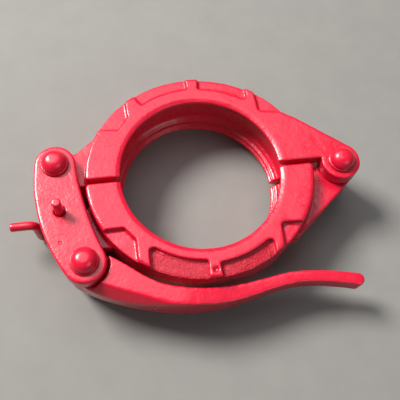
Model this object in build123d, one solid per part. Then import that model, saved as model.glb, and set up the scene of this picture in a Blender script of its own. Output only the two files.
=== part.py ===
"""Quick-lever clamp coupling for a 5 inch concrete line, built as separate pieces.

Millimetres. The origin is the middle of the bore and +Z runs along the bore.
The hinge lies towards +X, the lever lock towards -X, and the lever hugs the
lower half on the -Y side. Every turning axis is parallel to Z.
"""
from build123d import *
import math
import os

# ---- driving sizes ---------------------------------------------------------
HALF_H = 26.5            # half the height of the housing
LIP_R = 70.0             # bore of the two lips that hold the pipe ends
FACE_R = 74.5            # inner edge of the flat end face
OUT_A, OUT_B = 100.5, 95.5   # outer half axes along X and Y
GAP = 2.0                # half the gap between the two housing halves
HINGE = (126.5, -3.1)    # hinge rivet
P_LINK = (-124.7, 19.8)  # link plates on the upper half
P_LEVER = (-105.1, -70.0)    # link plates on the lever
P_FULC = (-113.51, -43.18)   # lever fulcrum on the lower half
P_SAFE = (-122.6, -24.2)     # safety pin
INNER_Z = 12.1           # half thickness of everything between the outer plates
PLATE_Z = 12.5           # inner face of lugs and link plates
LUG_Z = 4.7              # half thickness of the fulcrum lug
FORK_Z = 5.2             # half gap of the lever's fork
RIVET_R = 7.0            # shank of the three big rivets
RUN = 0.08               # radial running clearance on the rivets
FULC_R = 5.0             # fulcrum pin
SAFE_R = 3.9             # safety pin wire
LINK_OUT_R, LINK_IN_R = 155.0, 265.0    # curves of the link plates' long sides
WASHER_R, WASHER_T = 12.1, 2.6
DOME_R, DOME_H, LOW_H = 11.0, 8.4, 5.2    # rivet heads: radius, height on top and below


def plate(points, z0, z1):
    """A flat plate from a closed outline."""
    return Pos(0, 0, z0) * extrude(make_face(Polyline(*points, close=True)), z1 - z0)


def disc(centre, radius, z0, z1):
    """An upright disc."""
    return Pos(centre[0], centre[1], (z0 + z1) / 2) * Cylinder(radius, z1 - z0)


def capsule(a, ra, b, rb, z0, z1):
    """The plate round two circles and their outer tangents."""
    dx, dy = b[0] - a[0], b[1] - a[1]
    d = math.hypot(dx, dy)
    base = math.atan2(dy, dx)
    turn = math.acos((ra - rb) / d)
    pts = []
    for sign in (1, -1):
        ang = base + sign * turn
        pair = [(a[0] + ra * math.cos(ang), a[1] + ra * math.sin(ang)),
                (b[0] + rb * math.cos(ang), b[1] + rb * math.sin(ang))]
        pts += pair if sign == 1 else pair[::-1]
    return disc(a, ra, z0, z1) + disc(b, rb, z0, z1) + plate(pts, z0, z1)


def polar(r, deg):
    return (r * math.cos(math.radians(deg)), r * math.sin(math.radians(deg)))


# ---- housing ---------------------------------------------------------------
def bore_tool():
    """Everything inside the housing wall: lips, stepped shoulders, groove."""
    top = [(FACE_R, HALF_H), (LIP_R, 24.8), (LIP_R, 21.8), (73.0, 20.9), (73.0, 19.3),
           (71.3, 18.7), (71.3, 17.5), (75.8, 16.7), (75.8, 15.0), (78.5, 13.8)]
    prof = [(0, HALF_H + 5), (FACE_R, HALF_H + 5)] + top
    prof += [(r, -z) for r, z in reversed(top)]
    prof += [(FACE_R, -HALF_H - 5), (0, -HALF_H - 5)]
    face = make_face(Polyline(*[(r, 0, z) for r, z in prof], close=True))
    return revolve(face, Axis.Z, 360)


def ring_blank():
    """The oval outer wall with rounded end-face edges."""
    body = Pos(0, 0, -HALF_H) * extrude(make_face(Ellipse(OUT_A, OUT_B).edge()), 2 * HALF_H)
    rims = body.edges().filter_by_position(Axis.Z, HALF_H - 0.1, HALF_H + 0.1)
    rims += body.edges().filter_by_position(Axis.Z, -HALF_H - 0.1, -HALF_H + 0.1)
    return fillet(rims, 2.5)


def corner_pocket(pts, depth):
    """A shallow recess with straight sides, open at the outer wall."""
    return plate(pts, HALF_H - depth, HALF_H + 5)


def long_pocket(deg1, deg2, r_in, depth, fall, x_end=None):
    """A shallow curved recess, open at the outer wall, whose floor falls away a little.

    x_end, where given, ends it in a flat wall square to X with a rounded inner corner."""
    prof = [(r_in, HALF_H + 5), (r_in, HALF_H - depth), (112, HALF_H - depth - fall),
            (112, HALF_H + 5)]
    face = make_face(Polyline(*[(r, 0, z) for r, z in prof], close=True))
    tool = Rot(0, 0, deg1) * revolve(face, Axis.Z, deg2 - deg1)
    if x_end is None:
        return tool
    tool = tool & (Pos(x_end - math.copysign(100, x_end), 0, 0) * Box(200, 400, 400))
    corners = [e for e in tool.edges().filter_by(Axis.Z)
               if abs(e.center().X - x_end) < 0.1 and abs(e.center().Y) < 80]
    return fillet(corners, 3.5)


def round_off(corner, sx, sy, r):
    """Tool that rounds an upright corner; sx, sy point from the corner into the metal."""
    c = (corner[0] + sx * r, corner[1] + sy * r)
    far = (c[0] - sx * 2 * r, c[1] - sy * 2 * r)
    pts = [c, (far[0], c[1]), far, (c[0], far[1])]
    return plate(pts, -HALF_H - 5, HALF_H + 5) - disc(c, r, -HALF_H - 6, HALF_H + 6)


def pockets(pieces):
    """The same recesses in both end faces."""
    tool = pieces[0]
    for p in pieces[1:]:
        tool = tool + p
    return [tool, mirror(tool, Plane.XY)]


def half_space(upper):
    size = 400
    y = GAP + size / 2 if upper else -GAP - size / 2
    return Pos(0, y, 0) * Box(size, size, 200)


def upper_half():
    body = (ring_blank() & half_space(True))
    right = [(61.2, 57.1), (63.6, 54.5), (84, 51.5), (112, 60), (100, 110), (59.3, 100)]
    left = [polar(112, 127.8), polar(97, 127.8), polar(84, 134.2), polar(83.5, 145),
            polar(97, 149.5), polar(112, 149.5)]
    for tool in pockets([corner_pocket(right, 3.4), corner_pocket(left, 3.4),
                         long_pocket(47, 84.2, 84.2, 3.2, 1.0, 52.6),
                         long_pocket(91.2, 122.4, 84.2, 3.0, 0.6)]):
        body = body - tool
    body = body - round_off((-100.45, GAP), 1, 1, 4.0)
    # hinge lugs, flush with the end faces
    lug = [(72, GAP), (109.6, GAP), HINGE, (137.7, 10.4), (92.7, 45.5), (80.5, 52.6),
           (63.6, 54.5), (56, 54)]
    for z0, z1 in ((PLATE_Z, HALF_H), (-HALF_H, -PLATE_Z)):
        body = body + plate(lug, z0, z1) + disc(HINGE, 17.5, z0, z1)
    # middle web that carries the link plates
    web = [(-85, GAP), (-112, GAP), (-121, 5.5), P_LINK, (-120, 34.2), (-107.6, 35.6),
           (-93.2, 47.0), (-80, 52)]
    body = body + plate(web, -INNER_Z, INNER_Z) + disc(P_LINK, 15, -INNER_Z, INNER_Z)
    body = body - bore_tool()
    # room for the lower half's tongue between the lugs
    body = body - disc(HINGE, 18.2, -PLATE_Z, PLATE_Z)
    body = body - disc(HINGE, RIVET_R, -40, 40) - disc(P_LINK, RIVET_R, -40, 40)
    return body


def lower_half():
    body = (ring_blank() & half_space(False))
    left = [polar(112, 207.5), polar(97, 207.5), polar(84, 212), polar(83.5, 222),
            polar(97, 230.5), polar(112, 230.5)]
    right = [(61.2, -57.1), (63.6, -54.5), (97, -56.4), (112, -75), (100, -110), (59.3, -100)]
    for tool in pockets([corner_pocket(left, 5.0), corner_pocket(right, 5.0),
                         long_pocket(227, 266.4, 80.3, 4.6, 2.2, -52.4),
                         long_pocket(273.0, 313, 83.3, 4.6, 2.2, 52.2)]):
        body = body - tool
    body = body - round_off((100.45, -GAP), -1, -1, 5.0) - round_off((-100.45, -GAP), 1, -1, 4.5)
    # casting dimple on the middle rib
    for z in (HALF_H, -HALF_H):
        body = body - Pos(0, -89.0, z) * Sphere(2.6)
    # tongue for the hinge
    tongue = [(84, -12), (99, -9), (112.4, 6.3), HINGE, (137.3, -16.2), (79.5, -64.3), (62, -62)]
    body = body + plate(tongue, -INNER_Z, INNER_Z) + disc(HINGE, 17, -INNER_Z, INNER_Z)
    # lug for the lever's fulcrum, with an open notch that clears the safety pin
    lug = [(-86, -12), (-104, -16), (-119, -19), (-121, -30), (-122.6, -40),
           (-109.4, -51.8), (-84, -55), (-76, -40)]
    arm = plate(lug, -LUG_Z, LUG_Z) + disc(P_FULC, 9.5, -LUG_Z, LUG_Z)
    out = (P_SAFE[0] - 20, P_SAFE[1] + 29)
    arm = arm - capsule(P_SAFE, SAFE_R + 0.95, out, SAFE_R + 9.35, -8, 8)
    body = body + arm - bore_tool()
    body = body - disc(HINGE, RIVET_R + RUN, -40, 40) - disc(P_FULC, FULC_R, -20, 20)
    return body


# ---- lever -----------------------------------------------------------------
def lever():
    inner = [(-92, -60.4), (-84.8, -64.9), (-76.3, -70.6), (-66.5, -78.2), (-56.8, -85.7),
             (-46.9, -91.5), (-35.4, -95.8), (-23.6, -98.6), (-10, -100.3), (9.7, -100.6),
             (24, -99.4), (38.3, -97.4), (54, -95.0),
             (67.5, -93.8), (84.6, -94.6), (107, -97.9), (122.9, -101.6)]
    outer = [(122.3, -113.1), (112, -110.2), (95, -106.6), (75, -104.8), (56, -106.0),
             (36, -110.0), (18, -113.5), (0, -115.0), (-24, -114.0), (-48, -110.8),
             (-68, -106.0), (-88, -98.8), (-108.5, -87.4)]
    with BuildPart() as grip:
        with BuildSketch():
            with BuildLine():
                Spline(*inner)
                Line(inner[-1], outer[0])
                Spline(*outer)
                Line(outer[-1], inner[0])
            make_face()
        extrude(amount=24, both=True)
    body = grip.part + disc((122.7, -107.35), 5.77, -24, 24)
    # thick by the lock, thin along the grip
    taper = [(-50, 20), (-34, 19.7), (-14, 17.6), (8, 14.0), (30, 11.6), (60, 10.2), (100, 9.2),
             (140, 8.6)]
    with BuildPart() as side:
        with BuildSketch(Plane.XZ):
            with BuildLine():
                Line((-140, 20), taper[0])
                Spline(*taper, tangents=[(1, 0), (1, -0.015)])
                Line(taper[-1], (taper[-1][0], -taper[-1][1]))
                Spline(*[(x, -z) for x, z in reversed(taper)], tangents=[(-1, -0.015), (-1, 0)])
                Line((taper[0][0], -20), (-140, -20))
                Line((-140, -20), (-140, 20))
            make_face()
        extrude(amount=200)
    body = body & side.part
    # both outer shoulders slope off towards the lock
    for up in (1, -1):
        slope = Plane(origin=(-91.1, -88.8, up * 20), z_dir=(-4.73, -11.03, up * 8.3))
        body = body - slope * Pos(0, 0, 60) * Box(160, 160, 120)
    # thinned where it runs between the link plates
    for z0, z1 in ((INNER_Z, 30), (-30, -INNER_Z)):
        body = body - disc(P_LEVER, 19.4, z0, z1)
        body = body - capsule(P_LEVER, 19.4, P_LINK, 19.4, z0, z1)
    body = body + disc(P_LEVER, 16.4, -INNER_Z, INNER_Z)
    # fork round the fulcrum lug
    knee = (P_FULC[0] + 1.0, P_FULC[1] - 6.0)
    body = body + capsule(P_FULC, 10.5, knee, 12.5, -INNER_Z, INNER_Z)
    body = body + capsule(knee, 12.5, P_LEVER, 15.5, -INNER_Z, INNER_Z)
    ax, ay = P_LINK[0] - P_LEVER[0], P_LINK[1] - P_LEVER[1]
    n = math.hypot(ax, ay)
    ang = math.degrees(math.atan2(ay, ax))
    mid = (P_LEVER[0] + ax / n * 30.0, P_LEVER[1] + ay / n * 30.0)
    body = body - Pos(mid[0], mid[1], 0) * Rot(0, 0, ang) * Box(40, 60, 2 * FORK_Z)
    # long slots in the fork for the fulcrum pin, and the rivet hole
    body = body - capsule(P_FULC, FULC_R + 0.4, knee, 7.6, -30, 30)
    body = body - disc(P_LEVER, RIVET_R + RUN, -40, 40)
    return body


# ---- link, pins, washers ---------------------------------------------------
def arc_centre(r1, r2):
    """The point r1 from the link rivet and r2 from the lever rivet, on the bore's side."""
    dx, dy = P_LEVER[0] - P_LINK[0], P_LEVER[1] - P_LINK[1]
    d = math.hypot(dx, dy)
    a = (r1 * r1 - r2 * r2 + d * d) / (2 * d)
    h = math.sqrt(r1 * r1 - a * a)
    return (P_LINK[0] + a * dx / d - h * dy / d, P_LINK[1] + a * dy / d + h * dx / d)


def along(c, p, r):
    """The point r from c on the ray through p."""
    d = math.hypot(p[0] - c[0], p[1] - c[1])
    return (c[0] + (p[0] - c[0]) * r / d, c[1] + (p[1] - c[1]) * r / d)


def link_plate(z0, z1, rb):
    """Curved plate between two rivets; rb rounds its end at the lever rivet."""
    ra = 17.6
    co = arc_centre(LINK_OUT_R - ra, LINK_OUT_R - rb)
    ci = arc_centre(LINK_IN_R + ra, LINK_IN_R + rb)
    middle = ((P_LINK[0] + P_LEVER[0]) / 2, (P_LINK[1] + P_LEVER[1]) / 2)
    o1, om, o2 = (along(co, p, LINK_OUT_R) for p in (P_LINK, middle, P_LEVER))
    i1, im, i2 = (along(ci, p, LINK_IN_R) for p in (P_LINK, middle, P_LEVER))
    top = along(P_LEVER, P_LINK, math.dist(P_LEVER, P_LINK) + ra)
    low = along(P_LINK, P_LEVER, math.dist(P_LEVER, P_LINK) + rb)
    with BuildPart() as part:
        with BuildSketch(Plane.XY.offset(z0)):
            with BuildLine():
                ThreePointArc(o1, om, o2)
                ThreePointArc(o2, low, i2)
                ThreePointArc(i2, im, i1)
                ThreePointArc(i1, top, o1)
            make_face()
        extrude(amount=z1 - z0)
    body = part.part
    outer_z = z1 if z1 > 0 else z0
    rim = body.edges().filter_by_position(Axis.Z, outer_z - 0.1, outer_z + 0.1)
    body = fillet(rim, 2.4)
    body = body - disc(P_LINK, RIVET_R + RUN, -40, 40) - disc(P_LEVER, RIVET_R, -40, 40)
    return body - disc(P_SAFE, SAFE_R + 0.8, -40, 40)


def rivet_side(high):
    """Shank and domed head above the middle."""
    z = HALF_H + WASHER_T
    prof = [(0, 0), (RIVET_R, 0), (RIVET_R, z), (DOME_R, z), (DOME_R, z + 1.2)]
    with BuildPart() as part:
        with BuildSketch(Plane.XZ):
            with BuildLine():
                Polyline(*prof)
                ThreePointArc((DOME_R, z + 1.2), (DOME_R * 0.72, z + 1.2 + (high - 1.2) * 0.72),
                              (2.0, z + high))
                Line((2.0, z + high), (0, z + high))
                Line((0, z + high), (0, 0))
            make_face()
        revolve(axis=Axis.Z)
    return part.part


def rivet(centre):
    """Shank with a domed head at each end, the lower one flatter."""
    body = rivet_side(DOME_H) + mirror(rivet_side(LOW_H), Plane.XY)
    return Pos(centre[0], centre[1], 0) * body


def washer(centre, top):
    z0 = HALF_H if top else -HALF_H - WASHER_T
    ring = disc(centre, WASHER_R, z0, z0 + WASHER_T)
    far = HALF_H + WASHER_T if top else -HALF_H - WASHER_T
    rim = ring.edges().filter_by_position(Axis.Z, far - 0.1, far + 0.1)
    ring = fillet(rim, 1.2)
    return ring - disc(centre, RIVET_R, -60, 60)


def safety_pin():
    """One bent wire: up through the plates, under them, and out as a grip."""
    x, y = P_SAFE
    path = FilletPolyline((x, y, 46), (x, y, -33), (x - 24.7, y, -33), (x - 24.7, y, 0),
                          (x - 46, y, 0), radius=6.5)
    start = Plane(origin=(x, y, 46), z_dir=(0, 0, -1))
    body = sweep(start * Circle(SAFE_R), path)
    ends = body.edges().filter_by(GeomType.CIRCLE)
    ends = [e for e in ends if e.center().Z > 45.5 or e.center().X < x - 45.5]
    return chamfer(ends, 0.8)


parts = {
    "upper_half": upper_half(),
    "lower_half": lower_half(),
    "lever": lever(),
    "link_plate_top": link_plate(PLATE_Z, HALF_H, 18.2),
    "link_plate_bottom": link_plate(-HALF_H, -PLATE_Z, 14.6),
    "hinge_rivet": rivet(HINGE),
    "link_rivet": rivet(P_LINK),
    "lever_rivet": rivet(P_LEVER),
    "fulcrum_pin": disc(P_FULC, FULC_R, -INNER_Z, INNER_Z),
    "safety_pin": safety_pin(),
    "hinge_washer_top": washer(HINGE, True),
    "hinge_washer_bottom": washer(HINGE, False),
    "link_washer_top": washer(P_LINK, True),
    "link_washer_bottom": washer(P_LINK, False),
    "lever_washer_top": washer(P_LEVER, True),
    "lever_washer_bottom": washer(P_LEVER, False),
}

os.makedirs("parts", exist_ok=True)
for name, shape in parts.items():
    export_step(shape, os.path.join("parts", name + ".step"))
    print(name, len(shape.solids()), round(shape.volume / 1000, 2), "cm3")
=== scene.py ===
"""Looks for the quick-lever clamp coupling: rough red-painted castings on a pale floor."""
import math

import bpy
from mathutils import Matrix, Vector


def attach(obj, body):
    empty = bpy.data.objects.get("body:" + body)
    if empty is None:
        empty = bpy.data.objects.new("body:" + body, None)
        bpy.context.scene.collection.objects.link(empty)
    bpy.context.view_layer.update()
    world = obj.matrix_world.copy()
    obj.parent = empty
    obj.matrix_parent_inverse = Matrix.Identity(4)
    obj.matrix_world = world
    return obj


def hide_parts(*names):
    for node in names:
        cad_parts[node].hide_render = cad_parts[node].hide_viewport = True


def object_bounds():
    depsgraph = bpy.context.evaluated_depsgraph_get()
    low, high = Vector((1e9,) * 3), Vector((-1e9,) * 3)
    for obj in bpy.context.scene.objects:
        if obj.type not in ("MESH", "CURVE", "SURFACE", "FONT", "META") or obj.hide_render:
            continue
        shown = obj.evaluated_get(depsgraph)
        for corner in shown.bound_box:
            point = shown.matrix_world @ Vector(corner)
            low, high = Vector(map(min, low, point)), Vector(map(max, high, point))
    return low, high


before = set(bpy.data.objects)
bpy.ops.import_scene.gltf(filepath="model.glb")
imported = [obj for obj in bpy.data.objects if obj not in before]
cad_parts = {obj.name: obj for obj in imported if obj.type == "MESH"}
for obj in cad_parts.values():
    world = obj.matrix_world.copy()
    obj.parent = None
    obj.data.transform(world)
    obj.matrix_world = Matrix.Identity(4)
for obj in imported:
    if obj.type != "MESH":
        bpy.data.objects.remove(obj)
cad_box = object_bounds()


# ---------------------------------------------------------------------------
# Upper half. A rough sand casting under thick gloss paint: soft edges, orange
# peel, and grains of sand under the film. Two rivets are set in it.
# ---------------------------------------------------------------------------
def sockets(group, inputs, outputs):
    """Names a node group's inputs, with their first values, and its outputs."""
    for name, kind, value in inputs:
        s = group.interface.new_socket(name, in_out="INPUT", socket_type=kind)
        s.default_value = value
    for name, kind in outputs:
        group.interface.new_socket(name, in_out="OUTPUT", socket_type=kind)


def wire(tree, *pairs):
    """Joins each output to its input."""
    for out, into in pairs:
        tree.links.new(out, into)


def math_node(tree, operation, a, b=0.0):
    """One Math node; a and b are numbers or sockets."""
    n = tree.nodes.new("ShaderNodeMath")
    n.operation = operation
    for socket, value in zip(n.inputs, (a, b)):
        if isinstance(value, (int, float)):
            socket.default_value = value
        else:
            tree.links.new(value, socket)
    return n.outputs[0]


def noise(tree, coords, scale, detail=2.0, roughness=0.5):
    """Noise with about scale lumps to the metre, as a value from 0 to 1."""
    n = tree.nodes.new("ShaderNodeTexNoise")
    n.inputs["Scale"].default_value = scale
    n.inputs["Detail"].default_value = detail
    n.inputs["Roughness"].default_value = roughness
    tree.links.new(coords, n.inputs["Vector"])
    return n.outputs["Fac"]


def ramp(tree, value, low, high, to_low=0.0, to_high=1.0):
    """Turns low..high into to_low..to_high, held level outside it."""
    n = tree.nodes.new("ShaderNodeMapRange")
    n.inputs["From Min"].default_value = low
    n.inputs["From Max"].default_value = high
    n.inputs["To Min"].default_value = to_low
    n.inputs["To Max"].default_value = to_high
    tree.links.new(value, n.inputs["Value"])
    return n.outputs["Result"]


def cast_film_and_light_group():
    """Height of a thick paint film over rough metal, a mask of sharp outer edges for a painted
    highlight, a mask of hollows and creases for painted shade, and a dust mask.
    """
    g = bpy.data.node_groups.new("paint_film_and_painted_light", "ShaderNodeTree")
    sockets(g,
            [("Casting", "NodeSocketFloat", 1.0), ("Peel", "NodeSocketFloat", 1.0),
             ("Grit", "NodeSocketFloat", 1.0)],
            [("Height", "NodeSocketFloat"), ("Painted Highlight", "NodeSocketFloat"),
             ("Painted Shade", "NodeSocketFloat"), ("Dust", "NodeSocketFloat")])
    a, z = g.nodes.new("NodeGroupInput"), g.nodes.new("NodeGroupOutput")
    at = g.nodes.new("ShaderNodeTexCoord").outputs["Object"]
    lumps = ramp(g, noise(g, at, 95.0, 3.0, 0.55), 0.3, 0.75)
    waves = ramp(g, noise(g, at, 26.0, 2.0), 0.3, 0.7)
    peel = ramp(g, noise(g, at, 420.0, 1.5, 0.45), 0.25, 0.75)
    grains = ramp(g, noise(g, at, 700.0, 1.0), 0.66, 0.8)
    where = ramp(g, noise(g, at, 38.0, 3.0), 0.48, 0.62)
    grit = math_node(g, "MULTIPLY", math_node(g, "MULTIPLY", grains, where), a.outputs["Grit"])
    body = math_node(g, "ADD", math_node(g, "MULTIPLY", lumps, 0.45),
                     math_node(g, "MULTIPLY", waves, 0.6))
    height = math_node(g, "MULTIPLY", body, a.outputs["Casting"])
    height = math_node(g, "ADD", height,
                       math_node(g, "MULTIPLY", math_node(g, "MULTIPLY", peel, 0.22),
                                 a.outputs["Peel"]))
    height = math_node(g, "ADD", height, math_node(g, "MULTIPLY", grit, 0.55))
    bend = g.nodes.new("ShaderNodeNewGeometry").outputs["Pointiness"]
    # Sharp outer edges: the red is made lighter there as a painted highlight.
    highlight_edges = ramp(g, bend, 0.535, 0.62)
    # Hollows and creases: the red is made darker there as painted shade.
    shade_hollows = ramp(g, bend, 0.485, 0.42)
    specks = ramp(g, noise(g, at, 900.0, 2.0), 0.70, 0.76)
    patches = ramp(g, noise(g, at, 20.0, 3.0), 0.5, 0.7)
    dust = math_node(g, "MULTIPLY", specks, patches)
    wire(g, (height, z.inputs["Height"]), (highlight_edges, z.inputs["Painted Highlight"]),
         (shade_hollows, z.inputs["Painted Shade"]), (dust, z.inputs["Dust"]))
    return g


PAINT_FILM_AND_LIGHT = cast_film_and_light_group()
SIGNAL_RED = (0.64, 0.006, 0.034, 1.0)
# Lighter red for sharp outer edges: a painted highlight.
PAINTED_HIGHLIGHT_RED = (0.76, 0.020, 0.060, 1.0)
# Deep red, used for a random darker tone and for painted shade in hollows, on pocket floors and in
# the pit.
DEEP_RED_AND_PAINTED_SHADE = (0.34, 0.0016, 0.010, 1.0)
DUST_GREY = (0.46, 0.33, 0.30, 1.0)


def mix_colour(tree, mask, a, b):
    """Colour a where the mask is 0, b where it is 1; either may be a socket."""
    n = tree.nodes.new("ShaderNodeMix")
    n.data_type = "RGBA"
    tree.links.new(mask, n.inputs["Factor"])
    for socket, value in ((n.inputs["A"], a), (n.inputs["B"], b)):
        if isinstance(value, tuple):
            socket.default_value = value
        else:
            tree.links.new(value, socket)
    return n.outputs["Result"]


def red_paint(name, casting, peel, grit, depth, floors=None, pit=None):
    """Gloss red paint; depth is the height of the film's relief, in metres.

    floors is the group whose mask roughens pocket floors and darkens them as painted shade, and
    pit the middle of a small pit whose inside is darkened as painted shade."""
    mat = bpy.data.materials.new(name)
    mat.use_nodes = True
    t = mat.node_tree
    shader = t.nodes["Principled BSDF"]
    film = t.nodes.new("ShaderNodeGroup")
    film.node_tree = PAINT_FILM_AND_LIGHT
    for key, value in (("Casting", casting), ("Peel", peel), ("Grit", grit)):
        film.inputs[key].default_value = value
    at = t.nodes.new("ShaderNodeTexCoord").outputs["Object"]
    clouds = ramp(t, noise(t, at, 14.0, 4.0, 0.6), 0.35, 0.7)
    colour = mix_colour(t, math_node(t, "MULTIPLY", clouds, 0.2), SIGNAL_RED, DEEP_RED_AND_PAINTED_SHADE)
    # Sharp outer edges turn a lighter red: painted highlight.
    colour = mix_colour(t, math_node(t, "MULTIPLY", film.outputs["Painted Highlight"], 0.55), colour, PAINTED_HIGHLIGHT_RED)
    # Hollows and creases turn deep red: painted shade.
    colour = mix_colour(t, math_node(t, "MULTIPLY", film.outputs["Painted Shade"], 0.85), colour,
                        DEEP_RED_AND_PAINTED_SHADE)
    colour = mix_colour(t, math_node(t, "MULTIPLY", film.outputs["Dust"], 0.5), colour, DUST_GREY)
    rough = ramp(t, noise(t, at, 60.0, 3.0), 0.3, 0.75, 0.24, 0.40)
    rough = math_node(t, "ADD", rough, math_node(t, "MULTIPLY", film.outputs["Dust"], 0.35))
    height = film.outputs["Height"]
    if floors:
        floor_node = t.nodes.new("ShaderNodeGroup")
        floor_node.node_tree = floors
        floor_node.inputs["Amount"].default_value = 1.0
        height = math_node(t, "ADD", height, floor_node.outputs["Height"])
        rough = math_node(t, "ADD", rough, math_node(t, "MULTIPLY", floor_node.outputs["Mask"], 0.16))
        # The long pocket floors are darkened toward deep red: painted shade.
        colour = mix_colour(t, math_node(t, "MULTIPLY", floor_node.outputs["Mask"], 0.3), colour,
                            DEEP_RED_AND_PAINTED_SHADE)
    if pit:
        away = t.nodes.new("ShaderNodeVectorMath")
        away.operation = "DISTANCE"
        away.inputs[1].default_value = pit
        t.links.new(at, away.inputs[0])
        wobble = math_node(t, "MULTIPLY", noise(t, at, 300.0, 2.0), 0.0022)
        reach = math_node(t, "ADD", away.outputs["Value"], wobble)
        hole = ramp(t, reach, 0.0030, 0.0018)
        height = math_node(t, "SUBTRACT", height, math_node(t, "MULTIPLY", hole, 1.3))
        # The pit's inside is darkened toward deep red: painted shade.
        colour = mix_colour(t, math_node(t, "MULTIPLY", hole, 0.6), colour, DEEP_RED_AND_PAINTED_SHADE)
    bump = t.nodes.new("ShaderNodeBump")
    bump.inputs["Strength"].default_value = 1.0
    bump.inputs["Distance"].default_value = depth
    wire(t, (height, bump.inputs["Height"]),
         (bump.outputs["Normal"], shader.inputs["Normal"]),
         (colour, shader.inputs["Base Color"]), (rough, shader.inputs["Roughness"]))
    shader.inputs["IOR"].default_value = 1.45
    shader.inputs["Coat Weight"].default_value = 0.35
    shader.inputs["Coat Roughness"].default_value = 0.14
    return mat


def painted_copy(node, body, finish, slot, voxel, softening, swell=0.0, swell_size=0.02):
    """A copy of a CAD piece with its edges rounded as a casting's are and a slightly wavy skin."""
    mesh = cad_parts[node].data.copy()
    mesh.materials.clear()
    mesh.materials.append(finish)
    piece = bpy.data.objects.new("painted_" + node, mesh)
    bpy.context.scene.collection.objects.link(piece)
    weld = piece.modifiers.new("join", "WELD")
    weld.merge_threshold = 1e-6
    cast = piece.modifiers.new("cast", "REMESH")
    cast.mode = "VOXEL"
    cast.voxel_size = voxel
    cast.use_smooth_shade = True
    soft = piece.modifiers.new("soft edges", "SMOOTH")
    soft.factor = 0.5
    soft.iterations = softening
    if swell:
        texture = bpy.data.textures.new("waves_" + node, "CLOUDS")
        texture.noise_scale = swell_size
        texture.noise_depth = 2
        wavy = piece.modifiers.new("wavy skin", "DISPLACE")
        wavy.texture = texture
        wavy.texture_coords = "LOCAL"
        wavy.strength = swell
        wavy.mid_level = 0.85       # nearly all inwards, so nothing grows or rubs
    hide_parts(node)
    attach(piece, body)
    return piece


CASTING_RED = red_paint("red_paint_on_casting", casting=1.0, peel=1.0, grit=1.0, depth=0.0005)
painted_copy("upper_half", "housing_upper", CASTING_RED, "housing_paint",
             voxel=0.00096, softening=3, swell=0.0006)


# ---------------------------------------------------------------------------
# Lower half. The same casting and paint, with the hinge tongue, the fulcrum
# lug and deeper pockets. The sand left the two long pocket floors rough.
# ---------------------------------------------------------------------------
LONG_POCKET_R = (0.0815, 0.1010)        # from inner wall to open side
LONG_POCKET_X = (-0.0510, 0.0510)       # between their flat ends
LONG_POCKET_Z = (0.0190, 0.0226)        # floor height, the same above and below


def band(tree, value, limits, edge):
    """One between the limits, falling to nought over the edge width outside them."""
    low, high = limits
    up = ramp(tree, value, low - edge, low)
    down = ramp(tree, value, high, high + edge, 1.0, 0.0)
    return math_node(tree, "MULTIPLY", up, down)


def sand_floor_group():
    """Mask of the two long pocket floors, and the height of the sand grain on them."""
    g = bpy.data.node_groups.new("sandy_pocket_floor", "ShaderNodeTree")
    sockets(g, [("Amount", "NodeSocketFloat", 0.0)],
            [("Mask", "NodeSocketFloat"), ("Height", "NodeSocketFloat")])
    a, z = g.nodes.new("NodeGroupInput"), g.nodes.new("NodeGroupOutput")
    at = g.nodes.new("ShaderNodeTexCoord").outputs["Object"]
    xyz = g.nodes.new("ShaderNodeSeparateXYZ")
    wire(g, (at, xyz.inputs[0]))
    x, y, up = xyz.outputs
    radius = math_node(g, "SQRT", math_node(g, "ADD", math_node(g, "MULTIPLY", x, x),
                                            math_node(g, "MULTIPLY", y, y)))
    mask = band(g, radius, LONG_POCKET_R, 0.0010)
    mask = math_node(g, "MULTIPLY", mask, band(g, x, LONG_POCKET_X, 0.0010))
    level = math_node(g, "ABSOLUTE", up)
    mask = math_node(g, "MULTIPLY", mask, band(g, level, LONG_POCKET_Z, 0.0006))
    lower_side = ramp(g, y, -0.050, -0.060)
    mask = math_node(g, "MULTIPLY", mask, lower_side)
    mask = math_node(g, "MULTIPLY", mask, a.outputs["Amount"])
    coarse = ramp(g, noise(g, at, 260.0, 4.0, 0.7), 0.35, 0.65)
    fine = ramp(g, noise(g, at, 850.0, 2.0, 0.6), 0.35, 0.65)
    height = math_node(g, "ADD", math_node(g, "MULTIPLY", coarse, 1.6),
                       math_node(g, "MULTIPLY", fine, 0.7))
    wire(g, (mask, z.inputs["Mask"]),
         (math_node(g, "MULTIPLY", height, mask), z.inputs["Height"]))
    return g


# Its long pocket floors are roughened, and also darkened as painted shade.
SANDY_SHADED_RED = red_paint("red_paint_on_sandy_casting", casting=1.0, peel=1.0, grit=1.0,
                      depth=0.0005, floors=sand_floor_group())
painted_copy("lower_half", "housing_lower", SANDY_SHADED_RED, "housing_paint",
             voxel=0.00096, softening=3, swell=0.0006)


# ---------------------------------------------------------------------------
# Lever. A drop forging, smoother than the castings, with rolled edges, under
# the same paint. It turns on the rivet between the link plates.
# ---------------------------------------------------------------------------
FORGING_RED = red_paint("red_paint_on_forging", casting=0.7, peel=1.0, grit=0.5, depth=0.0005)
painted_copy("lever", "lever", FORGING_RED, "lever_paint",
             voxel=0.0010, softening=16, swell=0.0006, swell_size=0.025)


# ---------------------------------------------------------------------------
# Link plates. Two cast plates, one above and one below the lever, with rounded
# rims; the lower one is narrower by the lever. The upper one has a small pit.
# ---------------------------------------------------------------------------
# The pit in the upper plate is darkened inside as painted shade.
PLATE_RED = red_paint("red_paint_on_plates", casting=0.75, peel=1.1, grit=0.7, depth=0.00045,
                      pit=(-0.1232, -0.0520, 0.0262))
for plate in ("link_plate_top", "link_plate_bottom"):
    painted_copy(plate, "link", PLATE_RED, "link_paint", voxel=0.0009, softening=5, swell=0.0005)


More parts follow.
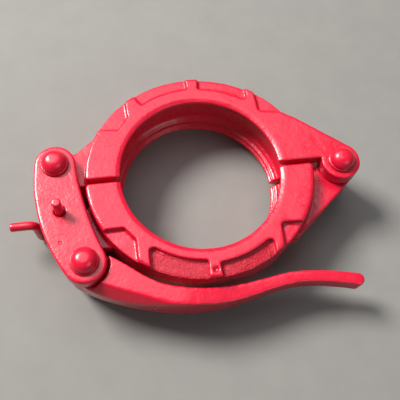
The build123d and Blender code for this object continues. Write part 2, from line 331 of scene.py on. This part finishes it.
# ---------------------------------------------------------------------------
# Rivets and their washers. Steel, set hot with a cupped tool and painted over
# in place. The red is darker round the foot of each dome: painted shade.
# ---------------------------------------------------------------------------
RIVET_RED = red_paint("red_paint_on_rivets", casting=0.35, peel=0.9, grit=0.35, depth=0.0004)
SMALL = {"voxel": 0.0006, "softening": 3}
for name, body in (("hinge", "housing_upper"), ("link", "housing_upper"), ("lever", "link")):
    painted_copy(name + "_rivet", body, RIVET_RED, "rivet_paint", **SMALL)
    for side in ("top", "bottom"):
        painted_copy(f"{name}_washer_{side}", body, RIVET_RED, "rivet_paint", **SMALL)


# ---------------------------------------------------------------------------
# Safety pin. Steel wire bent cold into a crank: it goes up through both link
# plates, and its outer end is the grip. Painted with the rest.
# ---------------------------------------------------------------------------
PIN_RED = red_paint("red_paint_on_wire", casting=0.3, peel=0.9, grit=0.4, depth=0.0004)
painted_copy("safety_pin", "safety_pin", PIN_RED, "pin_paint", **SMALL)


# ---------------------------------------------------------------------------
# Fulcrum pin. Plain turned steel, pressed into the lower half's lug and out of
# sight between the link plates.
# ---------------------------------------------------------------------------
def turned_steel():
    mat = bpy.data.materials.new("turned_steel")
    mat.use_nodes = True
    t = mat.node_tree
    shader = t.nodes["Principled BSDF"]
    at = t.nodes.new("ShaderNodeTexCoord").outputs["Object"]
    rings = t.nodes.new("ShaderNodeTexWave")
    rings.bands_direction = "Z"
    rings.inputs["Scale"].default_value = 900.0
    rings.inputs["Distortion"].default_value = 1.5
    t.links.new(at, rings.inputs["Vector"])
    tone = noise(t, at, 180.0, 3.0)
    colour = mix_colour(t, tone, (0.16, 0.155, 0.15, 1.0), (0.30, 0.29, 0.28, 1.0))
    bump = t.nodes.new("ShaderNodeBump")
    bump.inputs["Distance"].default_value = 0.00004
    wire(t, (rings.outputs["Fac"], bump.inputs["Height"]),
         (bump.outputs["Normal"], shader.inputs["Normal"]),
         (colour, shader.inputs["Base Color"]),
         (ramp(t, tone, 0.3, 0.7, 0.42, 0.60), shader.inputs["Roughness"]))
    shader.inputs["Metallic"].default_value = 1.0
    return mat


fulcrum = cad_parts["fulcrum_pin"]
fulcrum.data.materials.clear()
fulcrum.data.materials.append(turned_steel())


# ---------------------------------------------------------------------------
# Floor, light and camera. A plain pale floor and far wall, a soft key light high
# up behind the clamp and to its left, a wide dim panel behind, a weak fill.
# ---------------------------------------------------------------------------
def pale_floor():
    mat = bpy.data.materials.new("pale_floor")
    mat.use_nodes = True
    t = mat.node_tree
    shader = t.nodes["Principled BSDF"]
    at = t.nodes.new("ShaderNodeTexCoord").outputs["Object"]
    tone = noise(t, at, 30.0, 5.0, 0.6)
    colour = mix_colour(t, tone, (0.205, 0.197, 0.183, 1.0), (0.25, 0.24, 0.222, 1.0))
    t.links.new(colour, shader.inputs["Base Color"])
    shader.inputs["Roughness"].default_value = 0.85
    return mat


low, high = cad_box
bpy.ops.mesh.primitive_plane_add(size=6.0, location=(0, 0, low.z))
floor = bpy.context.object
floor.name = "floor"
floor.data.materials.append(pale_floor())

world = bpy.data.worlds.new("pale_room")
bpy.context.scene.world = world
world.use_nodes = True
room = world.node_tree
room_light = room.nodes["Background"]
room_light.inputs["Color"].default_value = (0.93, 0.95, 1.0, 1.0)
room_light.inputs["Strength"].default_value = 0.12
far_wall = room.nodes.new("ShaderNodeBackground")
far_wall.inputs["Color"].default_value = (0.36, 0.35, 0.335, 1.0)
seen = room.nodes.new("ShaderNodeLightPath")
either = room.nodes.new("ShaderNodeMixShader")
wire(room, (seen.outputs["Is Camera Ray"], either.inputs[0]),
     (room_light.outputs[0], either.inputs[1]), (far_wall.outputs[0], either.inputs[2]),
     (either.outputs[0], room.nodes["World Output"].inputs["Surface"]))


def soft_light(name, place, aim, size, power, colour=(1.0, 1.0, 1.0)):
    data = bpy.data.lights.new(name, "AREA")
    data.shape = "DISK"
    data.size = size
    data.energy = power
    data.color = colour
    lamp = bpy.data.objects.new(name, data)
    bpy.context.scene.collection.objects.link(lamp)
    lamp.location = place
    lamp.rotation_euler = (Vector(aim) - Vector(place)).to_track_quat("-Z", "Y").to_euler()
    return lamp


soft_light("key", (-1.40, 1.10, 1.95), (0, 0, 0), 1.0, 128.0, (1.0, 0.985, 0.96))
soft_light("overhead", (-0.05, 0.60, 1.35), (0, 0, 0), 1.3, 9.0, (0.90, 0.94, 1.0))
soft_light("fill", (0.75, -0.95, 0.95), (0, 0, 0), 0.9, 3.0, (0.96, 0.98, 1.0))

camera_data = bpy.data.cameras.new("camera")
camera_data.lens = 51.0
camera_data.sensor_width = 36.0
camera = bpy.data.objects.new("camera", camera_data)
bpy.context.scene.collection.objects.link(camera)
camera.location = (-0.06135, -0.20630, 0.47115)
camera.rotation_euler = (math.radians(22.545), math.radians(-3.978), math.radians(-8.013))
bpy.context.scene.camera = camera
bpy.context.scene.view_settings.view_transform = "Standard"
